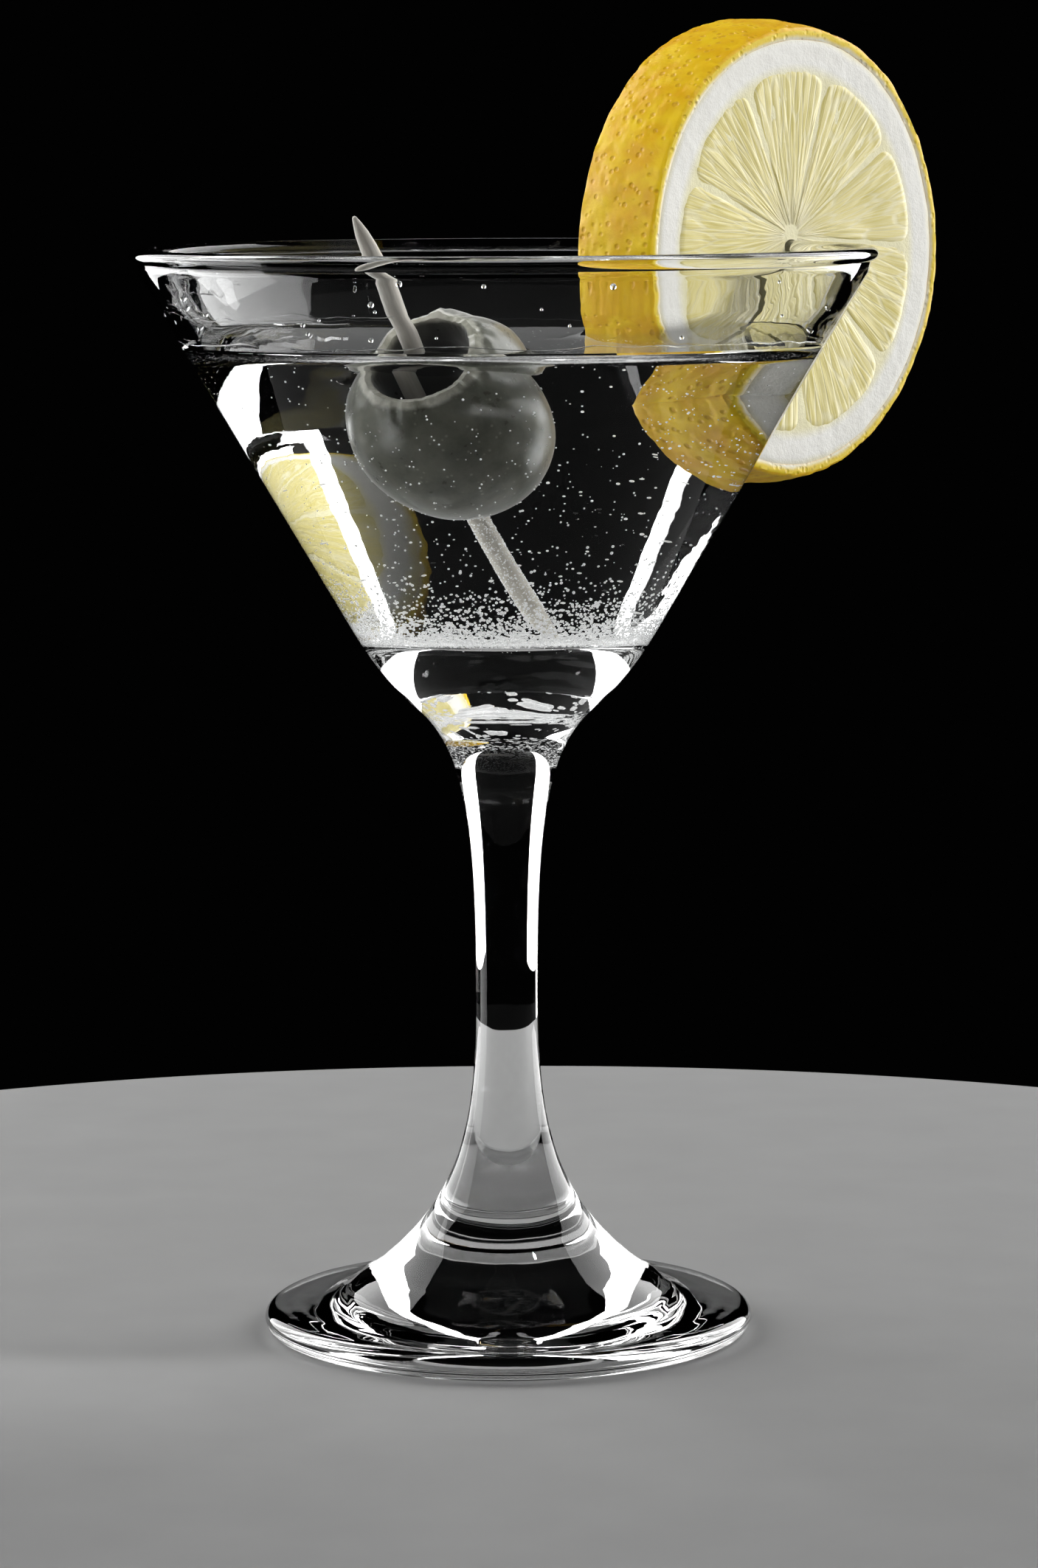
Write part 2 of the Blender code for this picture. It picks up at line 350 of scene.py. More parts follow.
def move_points(piece, rule):
    """Give every point of a mesh its new place: rule takes a Vector and returns one."""
    for point in piece.data.vertices:
        point.co = rule(point.co)
    piece.data.update()


def set_down(piece, matrix=Matrix.Identity(4)):
    """Put a piece's place and turn into its mesh, and shade it smooth."""
    piece.data.transform(matrix)
    select_only(piece)
    bpy.ops.object.shade_smooth_by_angle(angle=math.radians(SHARP_ANGLE))


def finish_piece(piece, material, slot, *nodes, second=None, takes_second=None):
    """Dress a piece and tie it to the one body. The slot argument is not used."""
    piece.data.materials.clear()
    piece.data.materials.append(material)
    if second:
        piece.data.materials.append(second)
        for face in piece.data.polygons:
            face.material_index = 1 if takes_second(face) else 0
    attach(piece, "root")
    if nodes:
        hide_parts(*nodes)
    triangles = sum(len(face.vertices) - 2 for face in piece.data.polygons)
    print(f"{piece.name}: {triangles} triangles")


def arc(centre, half_width, half_height, start, end, steps):
    """Points on an ellipse, as (radius, height); angles in degrees from +radius."""
    turns = [math.radians(start + (end - start) * i / steps) for i in range(steps + 1)]
    return [(centre[0] + half_width * math.cos(t), centre[1] + half_height * math.sin(t))
            for t in turns]


def sweep(start, end, start_lean, end_lean, pulls, steps):
    """A cubic curve downwards; each lean is measured from straight down, outwards.

    A pull is how far the curve keeps to the lean at that end.
    """
    first = Vector(start)
    last = Vector(end)
    leave = first + pulls[0] * Vector((math.sin(start_lean), -math.cos(start_lean)))
    arrive = last - pulls[1] * Vector((math.sin(end_lean), -math.cos(end_lean)))
    points = []
    for i in range(1, steps + 1):
        t = i / steps
        s = 1 - t
        point = s**3 * first + 3 * s * s * t * leave + 3 * s * t * t * arrive + t**3 * last
        points.append((point.x, point.y))
    return points


# %% [markdown]
# ## The glass
#
# A cocktail glass is a body of revolution, so its section is drawn once and spun.
# The section runs from the middle of the bowl's floor up the inner wall, over the
# rounded lip, down the outer cone, stem and foot, and back under the foot. It uses
# many more points than the plain model, so that bent light shows no facets. Faint
# uneven waves are then pressed into the foot, as drawn and pressed glass has them.

# %% Glass section
CONE_LEAN = -math.atan(CONE_SLOPE)
SHOULDER_LEAN = math.radians(-45.4)
FLARE_LEAN = math.radians(55)
EDGE_TURN = 84                # degrees at which the foot's rounded edge starts
LIP_TURNS = (205, -72)        # degrees over which the lip is round
THINNING_Z = LIP_Z - 0.0080   # above this the wall thins towards the lip
NECK_IN = (LIP_Z - 0.0017, 0.0022)    # height, and thickness of the wall there
NECK_OUT_Z = LIP_Z - 0.0024


def cone_radius(z):
    """Radius of the outer cone at a height."""
    return CONE_RADIUS + CONE_SLOPE * (z - LIP_Z)


def inner_outline(spare=0.0):
    """The inside of the bowl, from the middle of its floor up to under the lip."""
    corner_z = BOWL_FLOOR_Z + CORNER_RISE
    corner = (cone_radius(corner_z) - WALL, corner_z)
    pull = 0.55 * (corner[0] - BOWL_FLOOR_RADIUS)
    blend = sweep(corner, (BOWL_FLOOR_RADIUS, BOWL_FLOOR_Z), CONE_LEAN, -math.pi / 2,
                  (pull, pull), 20)
    points = [(0.0, BOWL_FLOOR_Z), (0.5 * BOWL_FLOOR_RADIUS, BOWL_FLOOR_Z)]
    points += blend[::-1] + [corner]
    heights = [corner_z + (WET_Z - corner_z) * i / 12 for i in range(1, 13)] + [THINNING_Z]
    points += [(cone_radius(z) - WALL, z) for z in heights]
    neck_z, neck_wall = NECK_IN
    points.append((cone_radius(neck_z) - neck_wall, neck_z))
    return [(radius + spare if radius else 0.0, z) for radius, z in points]


def lip_outline(spare, steps):
    """Over the lip, from the inside to the outside, with room to spare."""
    return arc((RIM_RADIUS - LIP_HALF_WIDTH, LIP_Z), LIP_HALF_WIDTH + spare,
               LIP_HALF_HEIGHT + spare, *LIP_TURNS, steps)


def glass_outline():
    """The whole section of the glass."""
    points = inner_outline() + lip_outline(0.0, 22)
    for i in range(13):
        z = NECK_OUT_Z + (CONE_END_Z - NECK_OUT_Z) * i / 12
        points.append((cone_radius(z), z))
    points += sweep(points[-1], SHOULDER, CONE_LEAN, SHOULDER_LEAN, (0.0084, 0.0020), 16)
    points += sweep(SHOULDER, WAIST, SHOULDER_LEAN, 0.0, (0.0081, 0.0227), 22)
    points += sweep(WAIST, FLARE_END, 0.0, FLARE_LEAN, (0.0210, 0.0189), 30)
    edge = arc((FOOT_RADIUS - FOOT_EDGE, FOOT_EDGE), FOOT_EDGE, FOOT_EDGE, EDGE_TURN, -90, 14)
    points += sweep(FLARE_END, edge[0], FLARE_LEAN, math.radians(EDGE_TURN),
                    (0.0045, 0.0030), 14)
    under = [(radius, 0.0) for radius in (0.026, 0.020, 0.014, 0.008, 0.0)]
    return points + edge[1:] + under


# %% Glass
SEAM_RADIUS = 0.0207
SEAM_WIDTH = 0.0010
SEAM_HEIGHT = 0.00045
RING_HEIGHT = 0.00003
WAVE_HEIGHT = 0.00010
UNPRESSED_Z = 0.034           # the stem above this is smooth
PRESSED_Z = 0.022             # the foot below this is fully uneven
EDGE_Z = 0.0021               # the foot's underside and edge stay even


def press_foot(point):
    """Uneven rings on the top of the foot, and the low seam where the stem was joined."""
    radius = math.hypot(point.x, point.y)
    share = min(1.0, max(0.0, (UNPRESSED_Z - point.z) / (UNPRESSED_Z - PRESSED_Z)))
    if point.z < EDGE_Z or radius < 0.004 or share == 0.0:
        return point
    wobble = noise.noise(Vector((point.x * 90, point.y * 90, 3.1)))
    ripple = noise.noise(Vector((point.x * 260, point.y * 260, 7.4)))
    ring = math.sin(radius * 2400 + 2.2 * wobble) * RING_HEIGHT
    from_seam = (radius - SEAM_RADIUS - 0.0003 * wobble) / SEAM_WIDTH
    seam = SEAM_HEIGHT * math.exp(-from_seam ** 2)
    waves = WAVE_HEIGHT * wobble + 0.00003 * ripple
    return point + Vector((0.0, 0.0, share * (ring + waves + seam * (1 + 0.5 * ripple))))


glass = turn_outline("glass_clear", glass_outline(), AROUND)
move_points(glass, press_foot)
set_down(glass)

# %% [markdown]
# Glass is one Principled shader with full transmission and the refractive index of
# soda-lime glass. Its surface is never perfect, so a very faint bump bends the
# mirrored boxes a little. Where the drink wets the inner wall, light goes from glass
# to liquid and hardly mirrors at all: those faces get the ratio of the two indices.

# %% Clear glass finish
GLASS_IOR = 1.52
DRINK_IOR = 1.36
GLINT = (0.3, 0.3, 0.3, 1.0)  # how strongly clear things mirror the boxes
CLEAR_TINTS = ((0.985, 0.992, 0.992), (0.995, 0.998, 0.998))


def clear_finish(name, ior, scale, strength):
    """A clear finish that mirrors only weakly, with faint waves of a scale and strength."""
    made, shader, start = new_finish(name, Roughness=0.0, IOR=ior, Transmission_Weight=1.0,
                                     Specular_Tint=GLINT)
    wave = rough(start, object_place(start), scale, 2.0, 0.4)
    feed(shader, Base_Color=mix_colours(wave, *CLEAR_TINTS),
         Normal=bump(start, wave, strength, 0.0006))
    return made


def is_wetted(face):
    """True on the inner wall and floor of the bowl, below the edge of the drink."""
    x, y, z = face.center
    return BOWL_FLOOR_Z - 0.0001 < z < WET_Z and math.hypot(x, y) < cone_radius(z) - 0.6 * WALL


clear_glass = clear_finish("clear_glass", GLASS_IOR, 160.0, 0.05)
wetted_glass = clear_finish("wetted_glass", GLASS_IOR / DRINK_IOR, 160.0, 0.02)
finish_piece(glass, clear_glass, "clear_glass", "glass", second=wetted_glass,
             takes_second=is_wetted)

# %% [markdown]
# ## The drink
#
# Where a liquid meets glass there is no air, so the drink reaches 0.2 mm into the
# wall. Its surface is flat, but it climbs at everything that it wets: at the wall,
# round the olive and the pick, and along the lemon wheel. Its side bends no light
# itself, because the wetted faces of the glass already do.

# %% Garnish places
OLIVE_CENTRE = Vector((-0.0063, -0.0185, LIP_Z - 0.0192))
OLIVE_AXIS = Vector((-0.33, -0.68, 0.655)).normalized()
OLIVE_RADIUS = 0.0120
OLIVE_HALF = 0.0140
PICK_TOP = Vector((-0.0192, -0.0339, LIP_Z + 0.0058))
PICK_BOTTOM = Vector((0.0052, 0.0018, LIP_Z - 0.0496))
PICK_RADIUS = 0.00125
WHEEL_CENTRE = Vector((0.0370, 0.0332, LIP_Z - 0.0007))
WHEEL_TURN = math.radians(47.3)
WHEEL_FRONT = 0.0315
WHEEL_BACK = 0.0330
WHEEL_HALF = 0.0062           # half its thickness


def along_axis(centre, axis):
    """The place and turn of a piece whose own +Z lies along an axis."""
    return Matrix.Translation(centre) @ axis.to_track_quat("Z", "Y").to_matrix().to_4x4()


pick_axis = (PICK_TOP - PICK_BOTTOM).normalized()
pick_centre = (PICK_TOP + PICK_BOTTOM) / 2
pick_matrix = along_axis(pick_centre, pick_axis)
olive_matrix = along_axis(OLIVE_CENTRE, OLIVE_AXIS)
wheel_euler = Euler((math.pi / 2, 0.0, WHEEL_TURN))
wheel_matrix = Matrix.Translation(WHEEL_CENTRE) @ wheel_euler.to_matrix().to_4x4()
to_olive = olive_matrix.inverted()
to_wheel = wheel_matrix.inverted()
print("pick:", round((PICK_TOP - PICK_BOTTOM).length * 1000, 1), "mm long")


# %% Distances from the garnish
def beyond_olive(point):
    """Roughly how far a point is from the olive's skin, negative inside."""
    local = to_olive @ point
    reach = Vector((local.x / OLIVE_RADIUS, local.y / OLIVE_RADIUS, local.z / OLIVE_HALF)).length
    return (reach - 1) * OLIVE_RADIUS


def beyond_wheel(point):
    """Distance from a point to the lemon wheel, negative inside."""
    local = to_wheel @ point
    across = abs(local.z) - WHEEL_HALF
    along = math.hypot(local.x, local.y) - 0.5 * (WHEEL_FRONT + WHEEL_BACK)
    return max(across, along)


def beyond_pick(point):
    """Distance from a point to the pick."""
    return (point - PICK_BOTTOM).cross(pick_axis).length - PICK_RADIUS


# %% Drink
WALL_REACH = 0.0002           # how deep the drink reaches into the glass
SHORE_WIDTH = 0.0040          # how far from the wall the surface starts to climb
CLIMB_FADE = 0.0010
OLIVE_CLIMB = 0.0008
WHEEL_CLIMB = 0.0010
PICK_CLIMB = 0.0004


def drink_outline():
    """From the middle of the surface out to its edge, down the wall and back in."""
    edge = cone_radius(WET_Z) - WALL
    shore = edge - SHORE_WIDTH
    surface = [(shore * i / 64, DRINK_Z) for i in range(65)]
    top = (edge + WALL_REACH, WET_Z + WALL_REACH)
    climb = sweep(top, (shore, DRINK_Z), math.radians(-25), -math.pi / 2, (0.0009, 0.0024), 10)
    wall = [(r, z) for r, z in inner_outline(WALL_REACH) if BOWL_FLOOR_Z < z < DRINK_Z]
    under_z = BOWL_FLOOR_Z - WALL_REACH
    bottom = [(BOWL_FLOOR_RADIUS, under_z), (0.0, under_z)]
    return surface + climb[-2::-1] + [top] + wall[::-1] + bottom


def climb_at_garnish(point):
    """Lift the surface near what it wets."""
    if abs(point.z - DRINK_Z) > 0.0000001:
        return point
    lift = 0.0
    for distance, height in ((beyond_olive(point), OLIVE_CLIMB),
                             (beyond_wheel(point), WHEEL_CLIMB),
                             (beyond_pick(point), PICK_CLIMB)):
        lift = max(lift, height * math.exp(-max(distance, 0.0) / CLIMB_FADE))
    return point + Vector((0.0, 0.0, lift))


drink = turn_outline("drink_clear", drink_outline(), AROUND)
move_points(drink, climb_at_garnish)
set_down(drink)


def touches_wall(face):
    """True on the drink's side and bottom, which lie inside the glass."""
    x, y, z = face.center
    return z < DRINK_Z - 0.00005 or math.hypot(x, y) > cone_radius(z) - WALL


clear_drink = clear_finish("clear_drink", DRINK_IOR, 70.0, 0.02)
drink_side = clear_finish("drink_side", 1.0, 70.0, 0.0)
finish_piece(drink, clear_drink, "clear_drink", "drink", second=drink_side,
             takes_second=touches_wall)

# %% [markdown]
# ## The lemon wheel
#
# A cut lemon shows four things: the dimpled yellow rind, the white pith under it,
# nine juicy segments, and thin membranes between them that meet at the core. The
# pith is made first as one thick disc. The rind is a ring round it, and each
# segment is a pad that stands a little proud of the pith on both faces, so that the
# strips left between the pads are the membranes.

# %% Lemon: rind and pith
CORE = Vector((-0.0013, 0.0023, 0.0))    # where the segments meet, in the wheel's plane
PULP_RADIUS = 0.0256
PORE_DEPTH = 0.00022
PORES = 640                   # scale of the pores' pattern
FACE_SINK = 0.00015           # the pith's faces lie this far below the rind's edges
SLIT_SPARE = 0.00015          # room between the slit and the glass
MEMBRANES = (-4, 31, 71, 115, 159, 198, 237, 275, 318)   # degrees round the core


def wheel_scale(turn):
    """The wheel's outline is a little uneven, as a real fruit's is."""
    return 1 + 0.010 * (0.6 * math.cos(2 * turn - 1.1) + 0.4 * math.cos(5 * turn + 0.6))


def wheel_radius(z):
    """Radius of the wheel between its front and back faces, with a slight bulge."""
    share = (WHEEL_HALF - z) / (2 * WHEEL_HALF)
    return WHEEL_FRONT + (WHEEL_BACK - WHEEL_FRONT) * share + 0.0005 * math.sin(math.pi * share)


def uneven(point):
    """Stretch a turned piece to the wheel's uneven outline."""
    scale = wheel_scale(math.atan2(point.y, point.x))
    return Vector((point.x * scale, point.y * scale, point.z))


def dimple(point):
    """Sink pores and soft hollows into the rind's outside."""
    radius = math.hypot(point.x, point.y)
    skin = min(1.0, max(0.0, (radius - wheel_radius(point.z) + 0.0009) / 0.0009))
    pore = noise.voronoi(point * PORES)[0][0]
    soft = noise.noise(point * 210) + 0.6 * noise.noise(point * 480)
    push = -PORE_DEPTH * (max(0.0, 1 - pore / 0.42) - soft) * skin
    return Vector((point.x * (1 + push / radius), point.y * (1 + push / radius), point.z))


def rind_outline():
    """The ring's section: up the inner side, over the front edge, down the outside."""
    outside = []
    for i in range(41):
        z = WHEEL_HALF - 2 * WHEEL_HALF * i / 40
        outside.append((wheel_radius(z) - (0.0003 if i in (0, 40) else 0), z))
    front_in = (WHEEL_FRONT - 0.0016, WHEEL_HALF - 0.0002)
    back_in = (WHEEL_BACK - 0.0016, -WHEEL_HALF + 0.0002)
    front = [front_in, (WHEEL_FRONT - 0.0011, WHEEL_HALF), (WHEEL_FRONT - 0.0007, WHEEL_HALF)]
    back = [(WHEEL_BACK - 0.0007, -WHEEL_HALF), (WHEEL_BACK - 0.0011, -WHEEL_HALF), back_in]
    return front + outside + back + [front_in]


def cut_slit(piece):
    """Cut the slit that lets the wheel hang on the glass's wall."""
    cutter = turn_outline("slit", slit_outline(), 96, 0.0000005)
    select_only(piece)
    cut = piece.modifiers.new("slit", "BOOLEAN")
    cut.operation = "DIFFERENCE"
    cut.solver = "MANIFOLD"
    cut.object = cutter
    bpy.ops.object.modifier_apply(modifier=cut.name)
    bpy.data.objects.remove(cutter, do_unlink=True)


def slit_outline():
    """The wall and lip, with a little room all round."""
    aside = SLIT_SPARE * 1.16     # level distance that gives that room on a slanted wall
    inner = [(r - aside, z) for r, z in inner_outline() if z > LIP_Z - 0.040]
    low_z = inner[0][1]
    outer = [(cone_radius(z) + aside, z) for z in (NECK_OUT_Z, low_z)]
    return inner + lip_outline(SLIT_SPARE, 16) + outer + inner[:1]


rind = turn_outline("lemon_rind", rind_outline(), 420)
move_points(rind, dimple)
move_points(rind, uneven)
set_down(rind, wheel_matrix)
cut_slit(rind)


def pith_outline():
    """A thick disc, its faces a little below the rind's edges."""
    face = WHEEL_HALF - FACE_SINK
    front = [((WHEEL_FRONT - 0.0017) * i / 30, face) for i in range(31)]
    back = [((WHEEL_BACK - 0.0017) * i / 30, -face) for i in range(31)]
    rim = [(WHEEL_FRONT - 0.0008, face - 0.0004), (WHEEL_BACK - 0.0008, -face + 0.0004)]
    return front + rim + back[::-1]


def pith_grain(point):
    """A soft, slightly lumpy face."""
    lump = noise.noise(point * 300) * 0.00008 + noise.noise(point * 900) * 0.00004
    return point + Vector((0.0, 0.0, lump if point.z > 0 else -lump))


pith = turn_outline("lemon_pith", pith_outline(), 240)
move_points(pith, pith_grain)
move_points(pith, uneven)
set_down(pith, wheel_matrix)
cut_slit(pith)


# %% Lemon: segments
SEGMENT_START = 0.0012        # radius of the core that the segments leave free
MEMBRANE_HALF = 0.00013       # half the gap between two segments


def pulp_reach(turn):
    """How far a segment reaches from the core in a direction."""
    way = Vector((math.cos(turn), math.sin(turn), 0.0))
    along = CORE.dot(way)
    return -along + math.sqrt(along * along - CORE.length_squared + PULP_RADIUS ** 2)


def smooth_step(value, low, high):
    """0 below low, 1 above high, smooth between."""
    t = min(1.0, max(0.0, (value - low) / (high - low)))
    return t * t * (3 - 2 * t)


def segment_place(across, along, start_turn, end_turn):
    """Where a point of the unit square lies on a segment's face."""
    middle = (start_turn + end_turn) / 2
    half = (end_turn - start_turn) / 2
    side = 2 * across - 1
    end = pulp_reach(middle + half * side) * (1 - 0.06 * abs(side) ** 6)
    radius = SEGMENT_START + (end - SEGMENT_START) * along
    room = max(0.05, 1 - MEMBRANE_HALF / (radius * half))
    narrow = 1 - 0.05 * along ** 14
    turn = middle + half * side * room * narrow
    sacs = noise.voronoi(Vector((turn * 16.0 + 5, radius * 120 + 0.8 * turn, 0.5 * turn)))[0]
    sac = min(1.0, (sacs[1] - sacs[0]) * 2.2)
    edge = (smooth_step(across, 0, 0.05) * smooth_step(1 - across, 0, 0.05)
            * smooth_step(along, 0, 0.05) * smooth_step(1 - along, 0, 0.03))
    height = (-0.00006 + 0.00014 * edge + 0.00008 * sac * edge
              + 0.00012 * noise.noise(Vector((turn * 3, radius * 120, middle))) * edge)
    return Vector((CORE.x + radius * math.cos(turn), CORE.y + radius * math.sin(turn),
                   WHEEL_HALF - FACE_SINK + height))


def make_segment(number):
    """A grid shaped to the segment's front face, its border drawn down to the middle."""
    start_turn = math.radians(MEMBRANES[number])
    after = (*MEMBRANES, MEMBRANES[0] + 360)[number + 1]
    end_turn = math.radians(after)
    bpy.ops.object.select_all(action="DESELECT")
    bpy.ops.mesh.primitive_grid_add(x_subdivisions=40, y_subdivisions=64, size=1.0)
    piece = bpy.context.object
    bpy.ops.object.mode_set(mode="EDIT")
    bpy.ops.mesh.select_all(action="SELECT")
    bpy.ops.mesh.region_to_loop()
    bpy.ops.mesh.extrude_edges_move(TRANSFORM_OT_translate={"value": (0.0, 0.0, -1.0)})
    bpy.ops.object.mode_set(mode="OBJECT")
    for point in piece.data.vertices:
        shaped = segment_place(point.co.x + 0.5, point.co.y + 0.5, start_turn, end_turn)
        if point.co.z < -0.5:
            shaped.z = 0.0
        point.co = shaped
    return piece


segments = [make_segment(number) for number in range(len(MEMBRANES))]
bpy.ops.object.select_all(action="DESELECT")
for piece in segments:
    piece.select_set(True)
bpy.context.view_layer.objects.active = segments[0]
bpy.ops.object.join()
pulp = bpy.context.object
pulp.name = "lemon_pulp"
mirror = pulp.modifiers.new("back face", "MIRROR")
mirror.use_axis = (False, False, True)
mirror.merge_threshold = 0.000001
bpy.ops.object.modifier_apply(modifier=mirror.name)
bpy.ops.object.mode_set(mode="EDIT")
bpy.ops.mesh.select_all(action="SELECT")
bpy.ops.mesh.normals_make_consistent(inside=False)
bpy.ops.object.mode_set(mode="OBJECT")
set_down(pulp, wheel_matrix)
cut_slit(pulp)

# %% [markdown]
# The three lemon finishes are all drawn in the wheel's own coordinates: a Mapping
# node turns object coordinates into the wheel's plane. Distance from the middle then
# tells skin from pith, and the angle round the core gives the pulp its streaks.

# %% Rind finish
ZEST = ((0.84, 0.45, 0.004), (0.95, 0.64, 0.008))
ZEST_PORE = (0.66, 0.32, 0.003)
ZEST_CUT = (0.90, 0.66, 0.03)
ZEST_GLAND = (0.62, 0.42, 0.03)
PITH_CUT = (0.93, 0.91, 0.82)

lemon_rind, shader, start = new_finish("lemon_rind", Specular_IOR_Level=0.35)
local, x, y, z = own_place(start, WHEEL_CENTRE, wheel_euler)
turn = start.math("ARCTAN2", y, x)
radius = from_axis(x, y)
scale = (start.math("COSINE", turn * 2 - 1.1) * 0.006
         + start.math("COSINE", turn * 5 + 0.6) * 0.004 + 1)
full = (WHEEL_HALF - z) * ((WHEEL_BACK - WHEEL_FRONT) / (2 * WHEEL_HALF)) + WHEEL_FRONT
depth = full * scale - radius
blotch = rough(start, local, 240.0, 3.0, 0.55)
fine = rough(start, local, 1400.0, 2.0, 0.6)
pores = start.node("TexVoronoi", None, {"Vector": local, "Scale": 720.0})
pore = 1 - rise(pores, 0.12, 0.36)
skin = mix_colours(rise(blotch, 0.30, 0.70), *ZEST)
skin = mix_colours(pore * 0.6, skin, ZEST_PORE)
flesh = mix_colours(rise(depth + blotch * 0.0012, 0.0013, 0.0023), ZEST_CUT, PITH_CUT)
glands = start.node("TexVoronoi", None, {"Vector": local, "Scale": 850.0})
gland = (1 - rise(glands, 0.12, 0.30)) * (1 - rise(depth, 0.0009, 0.0014))
flesh = mix_colours(gland * 0.7, flesh, ZEST_GLAND)
on_face = rise(start.math("ABSOLUTE", z), WHEEL_HALF - 0.00028, WHEEL_HALF - 0.00010)
on_face = on_face * rise(depth, 0.0002, 0.0004)
feed(shader, Base_Color=mix_colours(on_face, skin, flesh),
     Roughness=blotch * 0.25 + 0.34,
     Normal=bump(start, fine * 0.4 + blotch - pore, 0.6, 0.00020))
finish_piece(rind, lemon_rind, "lemon_flesh", "lemon_slice")

# %% Pith finish
PITH = ((0.92, 0.90, 0.82), (0.95, 0.94, 0.89))
MEMBRANE = (0.90, 0.84, 0.52)
PITH_EDGE = (0.88, 0.76, 0.28)

lemon_pith, shader, start = new_finish("lemon_pith")
local, x, y, _ = own_place(start, WHEEL_CENTRE, wheel_euler)
fluff = rough(start, local, 700.0, 4.0, 0.65)
patch = rough(start, local, 130.0, 2.0, 0.5)
radius = from_axis(x, y)
yellowing = rise(radius + patch * 0.002, 0.0300, 0.0322)
near_pulp = 1 - rise(radius, PULP_RADIUS - 0.001, PULP_RADIUS + 0.0012)
cream = mix_colours(near_pulp * 0.95, mix_colours(patch, *PITH), MEMBRANE)
feed(shader, Base_Color=mix_colours(yellowing * 0.7, cream, PITH_EDGE),
     Roughness=fluff * 0.3 + 0.35, Normal=bump(start, fluff, 0.5, 0.00025))
finish_piece(pith, lemon_pith, "lemon_flesh", "lemon_slice")

# %% Pulp finish
JUICE = ((0.77, 0.66, 0.21), (0.89, 0.80, 0.40))
SAC_WALL = (0.94, 0.91, 0.74)
JUICE_AT_CORE = (0.90, 0.87, 0.74)

lemon_pulp, shader, start = new_finish("lemon_pulp")
_, x, y, z = own_place(start, WHEEL_CENTRE, wheel_euler)
turn = start.math("ARCTAN2", y - CORE.y, x - CORE.x)
radius = from_axis(x - CORE.x, y - CORE.y)
along = start.node("CombineXYZ", None, {0: turn * 13.0, 1: radius * 105.0, 2: z * 90.0})
sacs = start.node("TexVoronoi", {"feature": "DISTANCE_TO_EDGE"}, {"Vector": along, "Scale": 1.1})
fibre_place = start.node("CombineXYZ", None, {0: turn * 48.0, 1: radius * 60.0, 2: z * 120.0})
fibre = rough(start, fibre_place, 1.6, 4.0, 0.6)
juice = mix_colours(rise(fibre, 0.32, 0.68), *JUICE)
sac_wall = 1 - rise(sacs, 0.015, 0.11)
near_core = 1 - rise(radius, 0.002, 0.008)
juice = mix_colours(sac_wall * 0.3, juice, SAC_WALL)
feed(shader, Base_Color=mix_colours(near_core * 0.35, juice, JUICE_AT_CORE),
     Roughness=fibre * 0.25 + 0.10,
     Normal=bump(start, fibre * 0.6 - sac_wall * 0.3, 0.4, 0.00015))
finish_piece(pulp, lemon_pulp, "lemon_flesh", "lemon_slice")

# %% [markdown]
# ## The olive
#
# A pitted olive is an egg shape with a deep round hole. Its section is turned like
# the glass. The mouth is then torn a little: its edge is pushed in and out by noise,
# and the skin gets a few soft dents.

# %% Olive
PIT_MOUTH = 0.0068            # radius where the pit opens
PIT_RADIUS = 0.0053
PIT_BOTTOM_Z = OLIVE_HALF - 0.0190
FLARE_HEIGHT = 0.0040


def olive_outline():
    """Down the pit's wall, over the mouth and down the skin."""
    mouth = math.degrees(math.acos(PIT_MOUTH / OLIVE_RADIUS))
    skin = arc((0.0, 0.0), OLIVE_RADIUS, OLIVE_HALF, mouth, -90, 60)
    mouth_z = skin[0][1]
    skin[-1] = (0.0, -OLIVE_HALF)
    bottom = arc((0.0, PIT_BOTTOM_Z + PIT_RADIUS), PIT_RADIUS, PIT_RADIUS, -90, 0, 12)
    wall_low = bottom[-1][1]
    wall_top = mouth_z - FLARE_HEIGHT
    wall = [(PIT_RADIUS, wall_low + (wall_top - wall_low) * i / 12) for i in range(1, 13)]
    flare = [(PIT_RADIUS + 0.0007 * (i / 8) ** 1.5, wall_top + 0.95 * FLARE_HEIGHT * i / 8)
             for i in range(1, 9)]
    return [(0.0, PIT_BOTTOM_Z)] + bottom[1:] + wall + flare + skin


def tear(point):
    """Dents in the skin, and an uneven, torn edge round the mouth."""
    radius = math.hypot(point.x, point.y)
    turn = math.atan2(point.y, point.x)
    near_mouth = smooth_step(point.z, 0.0080, 0.0118)
    ragged = noise.noise(Vector((2.0 * math.cos(turn), 2.0 * math.sin(turn), 4.0)))
    shred = noise.noise(Vector((9.0 * math.cos(turn), 9.0 * math.sin(turn), point.z * 900)))
    push = near_mouth * (0.0004 * ragged + 0.00022 * shred)
    dent = 0.00018 * noise.noise(point * 160) * (1 - near_mouth)
    grow = 1 + (push + dent) / max(radius, 0.001) if radius > 0.0005 else 1
    lift = near_mouth * (0.0006 * ragged + 0.0003 * shred)
    return Vector((point.x * grow, point.y * grow, point.z + lift))


olive = turn_outline("olive_skin", olive_outline(), 128)
move_points(olive, tear)
set_down(olive, olive_matrix)

# %% [markdown]
# The olive's finish is drawn in its own coordinates too. Skin covers all but the
# mouth; the cut flesh round the mouth is paler and mottled, and the pit's hollow is
# painted near black as painted shade.

# %% Olive finish
OLIVE_GREENS = ((0.11, 0.114, 0.085), (0.19, 0.194, 0.15))
OLIVE_SPECK = (0.50, 0.51, 0.42)
OLIVE_CUT = ((0.40, 0.40, 0.32), (0.78, 0.77, 0.68))
# near black for the pit's hollow: painted shade, not the flesh's own colour
PIT_PAINTED_SHADE = (0.03, 0.03, 0.02)

